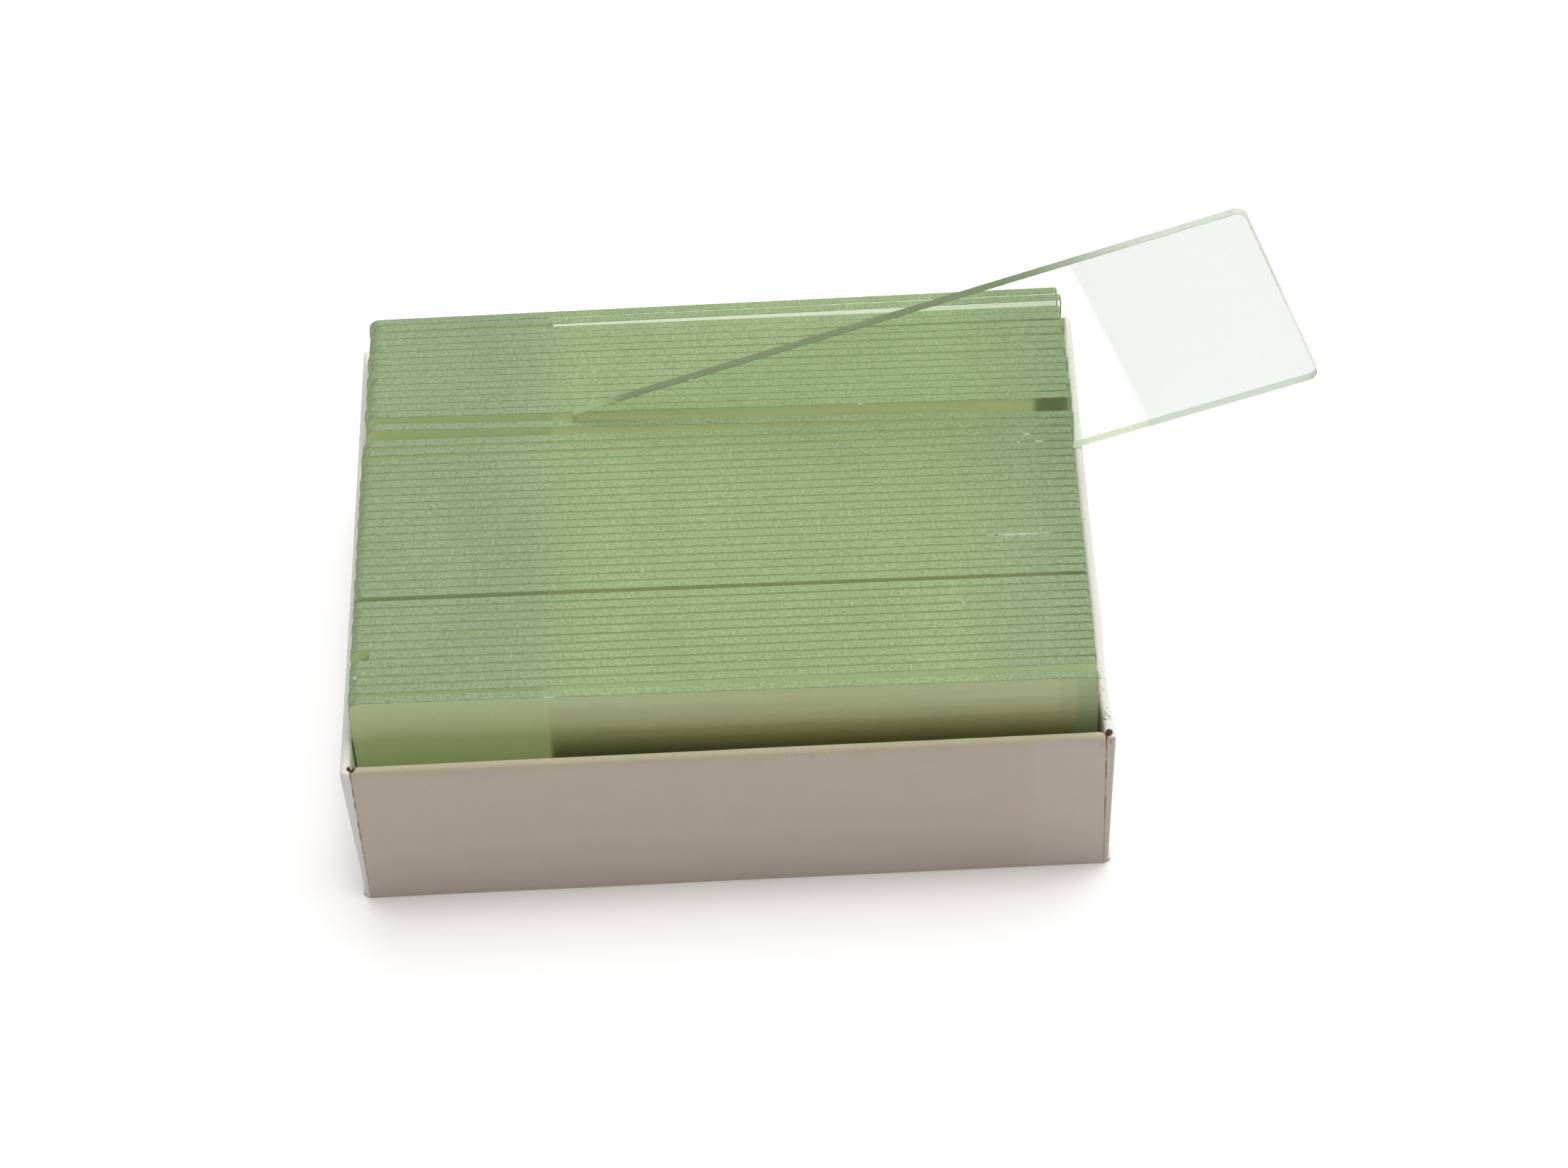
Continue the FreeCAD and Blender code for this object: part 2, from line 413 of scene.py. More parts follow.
# How much of a clear face is filmed over, as (height in millimetres, share): a dusty film, thicker
# towards the top as painted light that stands, with the glow, for light inside the glass.
CLEAR_FILM = [
    (0.0, grey(0.03)),
    (12.0, grey(0.05)),
    (16.0, grey(0.16)),
    (18.0, grey(0.34)),
    (21.0, grey(0.55)),
    (25.5, grey(0.66)),
]
SLIDE_TOP = 26.0


def fade_at_back(nodes):
    """The last slides are filmed over less: light from behind passes through them."""
    return nodes.ramp(nodes.axis(1), *BACK_ROWS_Y, 1.0, 0.15)


def gap_shade(nodes):
    """Painted shade: less light in the glass in the wide gap in mid pack, and at the right end of
    the slot.
    """
    x, y = nodes.axis(0), nodes.axis(1)
    turned = nodes.math("MULTIPLY_ADD", x, WIDE_GAP_SLOPE, y)
    gap = nodes.math("MULTIPLY", nodes.between(turned, *WIDE_GAP_Y, 0.1), 0.55)
    across = nodes.between(y, *SLOT_END_Y, 0.6)
    left, right = nodes.ramp(x, *SLOT_END_LEFT_X), nodes.ramp(x, *SLOT_END_RIGHT_X)
    along = nodes.math("MULTIPLY", left, right)
    slot_end = nodes.math("MULTIPLY", nodes.math("MULTIPLY", across, along), 0.8)
    return nodes.math("SUBTRACT", 1.0, nodes.math("MAXIMUM", gap, slot_end))


def front_gap(nodes):
    """1 in the gap behind the front slide, near the slides' tops, and 0 elsewhere."""
    turned = nodes.math("MULTIPLY_ADD", nodes.axis(0), FRONT_GAP_SLOPE, nodes.axis(1))
    near = nodes.ramp(turned, *FRONT_GAP_NEAR_Y)
    across = nodes.math("MULTIPLY", near, nodes.ramp(turned, *FRONT_GAP_FAR_Y))
    return nodes.math("MULTIPLY", across, nodes.ramp(nodes.axis(2), *FRONT_GAP_Z))


def ground_edge(name, sage, pale, pale_share, contrast, glow=None):
    """Ground glass: matt, speckled, sage green where it looks into the glass."""
    nodes = Nodes(name)
    colour = nodes.mix(pale_share(nodes), sage, pale)
    grain = nodes.noise(0.30, 3.0, 0.75)
    cloud = nodes.noise(7.0, 2.0, 0.5, (1, 0.5, 1))
    bright = nodes.math("MULTIPLY_ADD", grain, contrast, 1 - contrast / 2)
    bright = nodes.math("MULTIPLY", bright, nodes.math("MULTIPLY_ADD", cloud, 0.2, 0.9))
    colour = nodes.brighten(colour, bright)
    sparkle = nodes.ramp(nodes.cells(0.6), 0.13, 0.04)
    colour = nodes.mix(nodes.math("MULTIPLY", sparkle, 0.5), colour, (0.72, 0.78, 0.66, 1))
    roughness = nodes.math("MULTIPLY_ADD", grain, -0.25, 0.68)
    normal = nodes.bump(nodes.noise(0.12, 2.0, 0.6), 0.03)
    light = glow(nodes) if glow else None
    return nodes.finish(nodes.principled(colour, roughness, normal, 0.35, light))


def packed_edge_shade(nodes):
    """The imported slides' edges are duller over the frosted ends and at the clear ends."""
    x = nodes.axis(0)
    left = nodes.ramp(x, *FROSTED_TOPS_X)
    right = nodes.ramp(x, *CLEAR_TOPS_X)
    return nodes.math("MAXIMUM", left, right)


def drawn_lower_half(nodes):
    """1 over the lower half of the drawn slide and 0 over its upper half."""
    return nodes.ramp(nodes.along(DRAWN_PLACE.up), DRAWN_MIDDLE + 2.0, DRAWN_MIDDLE - 2.0)


def drawn_edge_shade(nodes):
    """The drawn slide's edges are pale along the bottom and turn pale at its frosted end: painted
    light, standing for light inside the glass.
    """
    frosted_end = nodes.ramp(nodes.axis(0), *DRAWN_PALE_X)
    return nodes.math("MAXIMUM", frosted_end, drawn_lower_half(nodes))


def drawn_edge_glow(nodes):
    """Light in the drawn slide's lower edge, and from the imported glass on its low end."""
    glow = nodes.mix(drawn_lower_half(nodes), grey(0), (0.09, 0.115, 0.08, 1))
    low_end = nodes.ramp(nodes.axis(0), *DRAWN_LOW_END_X)
    return nodes.mix(low_end, glow, (0.14, 0.18, 0.09, 1))


def ends_in_view(nodes):
    """How much of the light comes from slides' ends, seen in two steps near the right end."""
    x, z = nodes.axis(0), nodes.axis(2)
    above = nodes.ramp(z, *NEARER_ENDS_Z)
    nearer = nodes.math("MULTIPLY", nodes.ramp(x, *NEARER_ENDS_X), above)
    nearer = nodes.math("MULTIPLY", nearer, 0.4)
    farther = nodes.ramp(x, *FARTHER_ENDS_X)
    return nodes.math("MULTIPLY", nodes.math("MAXIMUM", nearer, farther), 0.75)


def packed_clear_glass(name):
    """A packed slide's polished face: a lit film over what is behind it."""
    nodes = Nodes(name)
    z = nodes.axis(2)
    gap = front_gap(nodes)
    film = nodes.stops(z, 0.0, SLIDE_TOP, CLEAR_FILM)
    dust = nodes.ramp(nodes.noise(1.4, 4.0, 0.65), 0.40, 0.75, 0.98, 1.03)
    film = nodes.math("MULTIPLY", nodes.math("MULTIPLY", film, dust), fade_at_back(nodes))
    film = nodes.math("MAXIMUM", film, nodes.math("MULTIPLY", gap, 0.95))
    glow = nodes.stops(z, 0.0, SLIDE_TOP, CLEAR_GLOW)
    glow = nodes.mix(ends_in_view(nodes), glow, END_GLOW)
    speckle = nodes.math("MULTIPLY_ADD", nodes.noise(0.3, 3.0, 0.75), 0.6, 0.7)
    glow = nodes.mix(gap, glow, nodes.brighten(GAP_GLOW, speckle))
    # Painted light: the glow runs in faint stripes along the slides.
    glow_stripes = nodes.ramp(nodes.noise(0.9, 2.0, 0.5, (0.012, 1, 1)), 0.3, 0.7, 0.90, 1.10)
    glow = nodes.brighten(glow, nodes.math("MULTIPLY", glow_stripes, gap_shade(nodes)))
    hazy = nodes.principled(PACKED_HAZE, 0.5, None, 0.3, glow)
    shader = nodes.blend(film, nodes.transparent((0.95, 0.975, 0.93, 1)), hazy)
    return nodes.finish(polish(nodes, shader))


def drawn_clear_glass(name):
    """The drawn slide's polished face, clean enough to see through."""
    nodes = Nodes(name)
    dust = nodes.ramp(nodes.noise(1.4, 4.0, 0.65), 0.45, 0.8, 0.0, 0.05)
    hazy = nodes.principled(DRAWN_HAZE, 0.5)
    shader = nodes.blend(dust, nodes.transparent((0.975, 0.99, 0.965, 1)), hazy)
    return nodes.finish(polish(nodes, shader))


def polish(nodes, shader):
    """The shader with a polished surface's reflections, which don't dim shadows."""
    ripple = nodes.bump(nodes.noise(9.0, 1.0, 0.4), 0.002)
    shadow = nodes.add("ShaderNodeLightPath").outputs["Is Shadow Ray"]
    share = nodes.math("MULTIPLY_ADD", shadow, -0.7, 0.7)
    mirror = nodes.math("MULTIPLY", nodes.fresnel(1.35), share)
    return nodes.blend(mirror, shader, nodes.glossy(0.03, ripple))


def frosted_packed(name):
    """A packed slide's frosted face, lit from inside the glass as well."""
    nodes = Nodes(name)
    z = nodes.axis(2)
    grain = nodes.noise(0.16, 2.0, 0.7)
    bright = nodes.math("MULTIPLY_ADD", grain, 0.3, 0.85)
    colour = nodes.brighten(PACKED_FROST_COLOUR, bright)
    bright = nodes.math("MULTIPLY", bright, gap_shade(nodes))
    glow = nodes.brighten(nodes.stops(z, 0.0, SLIDE_TOP, FROSTED_GLOW), bright)
    matt = nodes.principled(colour, 0.75, nodes.bump(grain, 0.012), 0.3, glow)
    through = nodes.transparent((0.85, 0.92, 0.78, 1))
    clear = nodes.ramp(z, 6.0, 16.0, 0.4, 0.08)
    return nodes.finish(nodes.blend(clear, matt, through))


def frosted_drawn(name):
    """The drawn slide's frosted end, lit from behind: nearly white."""
    nodes = Nodes(name)
    grain = nodes.noise(0.2, 3.0, 0.65)
    cloud = nodes.noise(5.0, 2.0, 0.5)
    colour = nodes.mix(cloud, (0.97, 0.985, 0.985, 1), (0.93, 0.945, 0.95, 1))
    colour = nodes.brighten(colour, nodes.math("MULTIPLY_ADD", grain, 0.12, 0.94))
    matt = nodes.principled(colour, 0.8, nodes.bump(grain, 0.012), 0.3)
    through = nodes.transparent((0.98, 0.99, 0.985, 1))
    return nodes.finish(nodes.blend(0.74, matt, through))


def chipped_glass(name):
    """Freshly broken glass: pale, shiny and uneven."""
    nodes = Nodes(name)
    facets = nodes.noise(0.25, 2.0, 0.6)
    colour = nodes.mix(facets, (0.78, 0.85, 0.72, 1), (0.97, 0.99, 0.95, 1))
    return nodes.finish(nodes.principled(colour, 0.25, nodes.bump(facets, 0.1)))


def glass_materials():
    """The finishes of a packed slide and of the drawn slide, in the order of the slots."""
    packed_edge = ground_edge(
        "ground_edge", PACKED_EDGE, PACKED_EDGE_PALE, packed_edge_shade, 1.5
    )
    drawn_edge = ground_edge(
        "drawn_edge", DRAWN_EDGE, DRAWN_EDGE_PALE, drawn_edge_shade, 0.6, drawn_edge_glow
    )
    chipped = chipped_glass("chipped_glass")
    clear, frosted = packed_clear_glass("clear_glass"), frosted_packed("frosted_glass")
    packed = [clear, frosted, packed_edge, chipped]
    clear, frosted = drawn_clear_glass("clean_glass"), frosted_drawn("frosted_end")
    drawn = [clear, frosted, drawn_edge, chipped]
    return packed, drawn


# The order of a slide's materials.
CLEAR_SLOT, FROSTED_SLOT, EDGE_SLOT, CHIP_SLOT = range(4)


# ---- slides --------------------------------------------------------------

class SlidePlace:
    """A CAD slide's own axes and sizes, read from its node at rest."""

    def __init__(self, node, along):
        points = [v.co.copy() for v in frame["nodes"][node].data.vertices]
        self.along = along.normalized()
        self.through = Vector((-self.along.y, self.along.x, 0)).normalized()
        self.up = self.along.cross(self.through)
        lows, sizes = [], []
        for axis in (self.along, self.through, self.up):
            reach = [p.dot(axis) for p in points]
            lows.append(min(reach))
            sizes.append((max(reach) - min(reach)) / MM)
        self.length, self.thickness, self.width = sizes
        self.origin = self.along * lows[0] + self.through * lows[1] + self.up * lows[2]

    def point(self, x, y, z):
        """A point in the row frame, from millimetres along the slide's own axes."""
        return self.origin + (self.along * x + self.through * y + self.up * z) * MM


PULL = next(joint for joint in frame["joints"] if joint["name"] == "drawn_slide_pull")
DRAWN_PLACE = SlidePlace("drawn_slide", Vector(PULL["axis"]))
DRAWN_MIDDLE = DRAWN_PLACE.origin.dot(DRAWN_PLACE.up) / MM + DRAWN_PLACE.width / 2


def packed_direction(node):
    """A packed slide's level direction, from the middles of its two halves."""
    low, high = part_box(node)
    middle = (low.x + high.x) / 2
    ends = {False: [], True: []}
    for vertex in frame["nodes"][node].data.vertices:
        ends[vertex.co.x > middle].append(vertex.co)
    means = {side: sum(points, Vector()) / len(points) for side, points in ends.items()}
    direction = means[True] - means[False]
    direction.z = 0
    return direction


def straight_run(start, end, spacing):
    """Points from start towards end, without end, at about the given spacing."""
    steps = max(1, round((end - start).length / spacing))
    return [start.lerp(end, step / steps) for step in range(steps)]


def slide_outline(place, left_radius, right_radius, frost, broken):
    """The slide's rounded rectangle as points with outward normals, anticlockwise."""
    length, width = place.length, place.width
    corners = [
        (left_radius, left_radius, left_radius, 180),
        (length - right_radius, right_radius, right_radius, 270),
        (length - right_radius, width - right_radius, right_radius, 0),
        (left_radius, width - left_radius, left_radius, 90),
    ]
    if broken:
        corners = corners[:3]
    arcs = []
    for x, z, radius, first in corners:
        arc = []
        for step in range(CORNER_STEPS + 1):
            angle = math.radians(first + 90 * step / CORNER_STEPS)
            normal = Vector((math.cos(angle), math.sin(angle)))
            arc.append((Vector((x, z)) + normal * radius, normal))
        arcs.append(arc)
    if broken:
        arcs.append(broken_arc(width))
    outline = []
    for index, arc in enumerate(arcs):
        outline += arc[:-1]
        start, normal = arc[-1]
        end = arcs[(index + 1) % len(arcs)][0][0]
        level = abs(end.y - start.y) < abs(end.x - start.x)
        stops = [start, end]
        if level:
            stops.insert(1, Vector((frost, start.y)))
        for first, last in zip(stops, stops[1:]):
            for point in straight_run(first, last, EDGE_SPACING):
                outline.append((point, normal))
    return outline


def broken_arc(width):
    """The jagged line where the upper left corner has broken off, from right to left."""
    draw = random.Random(BROKEN_SLIDE)
    start = Vector((BROKEN_LENGTH, width))
    end = Vector((0, width - BROKEN_DEPTH))
    normal = Vector((-(start.y - end.y), start.x - end.x)).normalized()
    points = [(start, Vector((0, 1)))]
    for step in range(1, BROKEN_STEPS):
        point = start.lerp(end, step / BROKEN_STEPS) - normal * draw.uniform(0, BROKEN_JAG)
        points.append((point, normal))
    points.append((end, Vector((-1, 0))))
    return points


def chip_depth(number, x):
    """How deep the upper edge is chipped at x, in millimetres."""
    depth = 0.0
    for slide, centre, half_length, deepest in CHIPS:
        reach = abs(x - centre) / half_length
        if slide == number and reach < 1:
            ragged = 0.6 + 0.8 * noise.noise(Vector((x * 3.1, number, 0)))
            depth = max(depth, deepest * (1 - reach * reach) * max(0.2, ragged))
    return depth


def is_chipped(number, place, first, second):
    """True if the upper edge is chipped between two points of the outline."""
    middle = (first + second) / 2
    on_top = middle.y > place.width - TOP_BAND
    return on_top and chip_depth(number, middle.x) > CHIP_SHOWS


def bevel_width(number, side, point):
    """The ground bevel's uneven width, in millimetres."""
    along = Vector((point.x * 1.7, point.y * 1.7, number * 7.3 + side * 3.1))
    return BEVEL + BEVEL_SPREAD * noise.noise(along)


def slide_rings(number, place, outline):
    """Four rings round the slide: front face, front bevel, back bevel, back face."""
    rings = [[], [], [], []]
    top = place.width - TOP_BAND
    down_face, down_edge, inwards = CHIP_CUTS
    for point, normal in outline:
        front = bevel_width(number, 0, point)
        back = bevel_width(number, 1, point)
        chip = chip_depth(number, point.x) if point.y > top else 0.0
        inner_front = point - normal * (front + chip * down_face)
        outer_front = point - normal * chip * down_edge
        inner_back = point - normal * back
        rings[0].append(place.point(inner_front.x, 0, inner_front.y))
        rings[1].append(place.point(outer_front.x, front + chip * inwards, outer_front.y))
        rings[2].append(place.point(point.x, place.thickness - back, point.y))
        rings[3].append(place.point(inner_back.x, place.thickness, inner_back.y))
    return rings


def face_halves(outline, frost):
    """The outline's indices left of the frost line and right of it, line included."""
    near = 1e-6
    left = [i for i, (point, _) in enumerate(outline) if point.x <= frost + near]
    right = [i for i, (point, _) in enumerate(outline) if point.x >= frost - near]
    return left, right


def build_slide(number, node, body, along, radii, frost, materials):
    """A slide as its own mesh: two polished faces, a frosted end and ground edges.

    frost is the length of the frosted end, and negative where that is the right one.
    """
    place = SlidePlace(node, along)
    frosted_left = frost > 0
    line = frost if frosted_left else place.length + frost
    outline = slide_outline(place, *radii, line, number == BROKEN_SLIDE)
    mesh = bmesh.new()
    rings = [[mesh.verts.new(p) for p in ring] for ring in slide_rings(number, place, outline)]
    left, right = face_halves(outline, line)
    slots = (FROSTED_SLOT, CLEAR_SLOT) if frosted_left else (CLEAR_SLOT, FROSTED_SLOT)
    for indices, slot in zip((left, right), slots):
        front = mesh.faces.new([rings[0][i] for i in indices])
        back = mesh.faces.new([rings[3][i] for i in reversed(indices)])
        front.material_index = back.material_index = slot
    count = len(outline)
    for outer, inner in zip(rings, rings[1:]):
        for i in range(count):
            j = (i + 1) % count
            face = mesh.faces.new((outer[j], outer[i], inner[i], inner[j]))
            chipped = outer is rings[0] and is_chipped(number, place, outline[i][0], outline[j][0])
            face.material_index = CHIP_SLOT if chipped else EDGE_SLOT
    data = bpy.data.meshes.new(node + "_glass")
    mesh.to_mesh(data)
    mesh.free()
    piece = add_piece(node + "_glass", data, materials)
    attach(piece, body)
    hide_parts(node)


def add_piece(name, data, materials):
    piece = bpy.data.objects.new(name, data)
    for material in materials:
        data.materials.append(material)
    bpy.context.scene.collection.objects.link(piece)
    return piece


def build_slides():
    packed_materials, drawn_materials = glass_materials()
    for node in sorted(frame["nodes"]):
        if node.startswith("slide_"):
            radii = (FROSTED_RADIUS, CLEAR_RADIUS)
            number = int(node.split("_")[1])
            along = packed_direction(node)
            build_slide(number, node, node, along, radii, PACKED_FROST, packed_materials)
    radii = (CLEAR_RADIUS, FROSTED_RADIUS)
    node = "drawn_slide"
    build_slide(DRAWN_SLIDE, node, node, DRAWN_PLACE.along, radii, -DRAWN_FROST, drawn_materials)


# ---- board ---------------------------------------------------------------

def board_liner(name, low_colour, rim_colour):
    """White-lined board: faint mottling, fine fibres and wear at the rim, with painted light and
    shade: the rim in a colour of its own, creamier on the front and lighter on the sides, and the
    foot darker.
    """
    nodes = Nodes(name)
    x, y, z = (nodes.axis(index) for index in range(3))
    # The rim's own colour: a painted highlight on the side walls, and part of the painted shade on
    # the front wall.
    colour = nodes.mix(nodes.ramp(z, *RIM_Z), low_colour, rim_colour)
    mottle = nodes.noise(3.5, 3.0, 0.6)
    fibres = nodes.noise(0.25, 3.0, 0.7)
    bright = nodes.math("MULTIPLY_ADD", mottle, 0.07, 0.965)
    bright = nodes.math("MULTIPLY", bright, nodes.math("MULTIPLY_ADD", fibres, 0.14, 0.93))
    # Painted shade: the board darkens towards the foot of each wall.
    bright = nodes.math("MULTIPLY", bright, nodes.ramp(z, 0.0, 10.0, 0.93, 1.0))
    # Painted shade: the right wall's front-facing end is warmer and darker, like the front wall.
    shaded_right_end = nodes.math("MULTIPLY", nodes.ramp(y, *RIGHT_END_SHADE_Y), nodes.ramp(x, *RIGHT_END_SHADE_X))
    colour = nodes.mix(shaded_right_end, colour, RIGHT_END_SHADE)
    colour = nodes.brighten(colour, bright)
    brown_marks = nodes.math("MAXIMUM", rubbed_rim(nodes, z), cracked_rim(nodes, x, y, z))
    brown_marks = nodes.math("MAXIMUM", brown_marks, brown_corner(nodes, x, y))
    brown_marks = nodes.math("MAXIMUM", brown_marks, worn_folds(nodes, x, y, z))
    colour = nodes.mix(brown_marks, colour, MARKS_BROWN)
    for hole in HOLES:
        colour = nodes.mix(corner_hole(nodes, hole), colour, HOLE_BROWN)
    height = nodes.math("MULTIPLY_ADD", mottle, 0.7, nodes.math("MULTIPLY", fibres, 0.3))
    return nodes.finish(nodes.principled(colour, 0.72, nodes.bump(height, 0.05), 0.3))


def rubbed_rim(nodes, z):
    """Small rubbed spots along the rim, where the board's brown core shows through."""
    spots = nodes.ramp(nodes.noise(0.9, 4.0, 0.75), 0.62, 0.70)
    return nodes.math("MULTIPLY", nodes.math("MULTIPLY", spots, 0.3), nodes.ramp(z, *RUBBED_RIM_Z))


def cracked_rim(nodes, x, y, z):
    """Fine broken cracks in the right wall's rim, next to the front corner."""
    folds = nodes.noise(0.9, 3.0, 0.65, (1.6, 0.7, 1))
    ridge = nodes.math("ABSOLUTE", nodes.math("SUBTRACT", folds, 0.5))
    cracks = nodes.ramp(ridge, 0.022, 0.006)
    patches = nodes.ramp(nodes.noise(1.7, 2.0, 0.5), 0.43, 0.51)
    near = nodes.math("MULTIPLY", nodes.ramp(x, *CRACKS_X), nodes.ramp(y, *CRACKS_Y))
    near = nodes.math("MULTIPLY", near, nodes.ramp(z, *CRACKS_Z))
    return nodes.math("MULTIPLY", nodes.math("MULTIPLY", cracks, patches), near)


def brown_corner(nodes, x, y):
    """Brown colour inside the right wall's back corner."""
    brown_share = nodes.math("MULTIPLY", nodes.between(x, *BROWN_CORNER_X, 0.5), nodes.ramp(y, *BROWN_CORNER_Y))
    return nodes.math("MULTIPLY", brown_share, 0.75)


def worn_folds(nodes, x, y, z):
    """Brown wear down the two front folds, stronger towards the rim."""
    across = nodes.math("ABSOLUTE", x)
    fold = nodes.between(across, *FOLD_X, 0.07)
    fold = nodes.math("MULTIPLY", fold, nodes.ramp(y, *FOLD_WEAR_Y))
    broken = nodes.ramp(nodes.noise(1.3, 3.0, 0.6), 0.36, 0.56, 0.25, 1.0)
    fade = nodes.ramp(z, 2.0, 13.0, 0.25, 0.8)
    return nodes.math("MULTIPLY", nodes.math("MULTIPLY", fold, broken), fade)


def corner_hole(nodes, hole):
    """The dark open end of the front wall's roll, at one corner of the rim: the board's brown
    core, with painted shade inside the opening.
    """
    node = nodes.add("ShaderNodeVectorMath")
    node.operation = "DISTANCE"
    nodes.link(nodes.place, node.inputs[0])
    node.inputs[1].default_value = [MM * value for value in hole]
    distance = nodes.math("MULTIPLY", node.outputs["Value"], 1 / MM)
    ragged = nodes.math("MULTIPLY_ADD", nodes.noise(0.5, 2.0, 0.6), 0.4, -0.2)
    return nodes.ramp(nodes.math("ADD", distance, ragged), *HOLE_EDGE)


def board_core(name):
    """The board's cut edge: brown pulp in thin plies."""
    nodes = Nodes(name)
    plies = nodes.noise(0.12, 3.0, 0.6)
    clumps = nodes.noise(0.7, 2.0, 0.6)
    colour = nodes.mix(plies, DARK_PULP, LIGHT_PULP)
    colour = nodes.brighten(colour, nodes.math("MULTIPLY_ADD", clumps, 0.5, 0.7))
    return nodes.finish(nodes.principled(colour, 0.9, nodes.bump(plies, 0.05), 0.2))


CORE = board_core("board_core")
# The front wall's board is the shaded copy: painted shade, warmer and darker than the side board.
SHADED_FRONT_MATERIALS = [board_liner("shaded_front_board", SHADED_FRONT_LINER, SHADED_FRONT_RIM), CORE]
SIDE_MATERIALS = [board_liner("side_board", SIDE_LINER, LIT_SIDE_RIM), CORE]


def smooth(value):
    """A smooth step from 0 to 1 as value goes from 0 to 1."""
    value = min(1.0, max(0.0, value))
    return value * value * (3 - 2 * value)


def dent_depth(s):
    """The depth of the right wall's dent at a place along it, in millimetres."""
    place, half_length, depth = DENT
    return depth * math.exp(-((s - place) / half_length) ** 2)


class Wall:
    """A rolled-over wall: s runs along it, u inwards from its outer face, z up."""

    def __init__(self, node, s_axis, u_axis, is_side, seed):
        low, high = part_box(node)
        self.node = node
        self.s_axis = Vector(s_axis)
        self.u_axis = Vector(u_axis)
        self.is_side = is_side
        self.seed = seed
        self.bow, self.dent = (RIGHT_BOW, 1) if node == "right_wall" else (LEFT_BOW, 0)
        middle = (low + high) / 2
        size = high - low
        self.length = abs(size.dot(self.s_axis)) / MM
        self.thickness = abs(size.dot(self.u_axis)) / MM
        self.height = high.z / MM
        self.origin = middle - self.u_axis * abs(size.dot(self.u_axis)) / 2
        self.origin.z = 0

    def profile(self):
        """The folded board's section as (u, z), from the outer foot up and over."""
        radius = self.thickness / 2
        rim = self.height - radius
        outside = [(0, height) for height in OUTER_LEVELS]
        inside = []
        for step in range(RIM_STEPS + 1):
            angle = math.pi * (1 - step / RIM_STEPS)
            u, z = math.cos(angle), math.sin(angle)
            outside.append((radius + radius * u, rim + radius * z))
            hollow = radius - BOARD
            inside.append((radius + hollow * u, rim + hollow * z))
        for height in INNER_LEVELS:
            outside.append((self.thickness, height))
        inside.append((self.thickness - BOARD, INNER_LEVELS[-1]))
        inside.reverse()
        for height in reversed(OUTER_LEVELS):
            inside.append((BOARD, height))
        return outside + inside

    def moved(self, s, u, z):
        """The point with the wall's bow, lean, waviness and crushed ends."""
        share = s / self.length + 0.5
        lift = z / self.height
        to_end = self.length / 2 - abs(s)
        wave = noise.noise(Vector((s * WAVES_PER_MM, self.seed * 5.7, lift)))
        ripple = noise.noise(Vector((s * RIPPLES_PER_MM, self.seed * 3.3, 2.0)))
        outer = 1 - smooth(u / self.thickness)
        if z > 1:
            z -= (WAVE_DEPTH * (1 + wave) + RIPPLE_DEPTH * (1 + ripple)) * smooth(lift)
        if self.is_side:
            u += SIDE_LEAN * (1 - lift) * outer
            u += self.bow * math.sin(math.pi * share) ** 2 * lift
            u += self.dent * dent_depth(s) * lift
        else:
            u += FACE_WAVE * wave * outer
            crushed = 1 - smooth(to_end / CRUSHED_LENGTH)
            z -= CRUSHED_DEPTH * crushed * smooth((lift - 0.9) * 10)
        return s, u, z

    def point(self, s, u, z):
        place = self.s_axis * s + self.u_axis * u + Vector((0, 0, z))
        return self.origin + place * MM

    def stations(self):
        """Places along the wall, closer together towards its ends."""
        half = self.length / 2 - (BOARD if self.is_side else END_GAP)
        places = []
        for step in range(WALL_STEPS + 1):
            share = 2 * step / WALL_STEPS - 1
            places.append(half * math.copysign(1 - (1 - abs(share)) ** END_CROWDING, share))
        return places

    def build(self, materials):
        mesh = bmesh.new()
        profile = self.profile()
        rings = []
        for s in self.stations():
            ring = [mesh.verts.new(self.point(*self.moved(s, u, z))) for u, z in profile]
            rings.append(ring)
        count = len(profile)
        for first, second in zip(rings, rings[1:]):
            for i in range(count):
                j = (i + 1) % count
                face = mesh.faces.new((first[i], first[j], second[j], second[i]))
                face.smooth = True
        for ring in (rings[0], rings[-1]):
            cap = mesh.faces.new(ring)
            cap.material_index = 1
        if self.is_side:
            self.add_end_folds(mesh)
        bmesh.ops.recalc_face_normals(mesh, faces=mesh.faces)
        data = bpy.data.meshes.new(self.node + "_board")
        mesh.to_mesh(data)
        mesh.free()
        piece = add_piece(self.node + "_board", data, materials)
        data.set_sharp_from_angle(angle=math.radians(40))
        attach(piece, "tray")
        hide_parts(self.node)

    def add_end_folds(self, mesh):
        """The folds at a side wall's ends, where its outer leaf turns into a flap."""
        radius = self.thickness / 2
        levels = [(height, 0) for height in FOLD_LEVELS]
        for step in range(RIM_STEPS):
            angle = math.pi / 2 * step / RIM_STEPS
            rise = self.height - radius + radius * math.sin(angle)
            levels.append((rise, radius - radius * math.cos(angle)))
        for end in (-1, 1):
            outside = end * self.length / 2
            inside = outside - end * BOARD
            rows = []
            for z, narrowing in levels:
                _, u, moved_z = self.moved(inside, 0, z)
                plan = fold_plan(inside, outside, u + narrowing, self.thickness - narrowing)
                rows.append([mesh.verts.new(self.point(s, u, moved_z)) for s, u in plan])
            count = len(rows[0])
            for low, high in zip(rows, rows[1:]):
                for i in range(count):
                    j = (i + 1) % count
                    mesh.faces.new((low[i], low[j], high[j], high[i])).smooth = True
            for row in (rows[0], rows[-1]):
                mesh.faces.new(row)


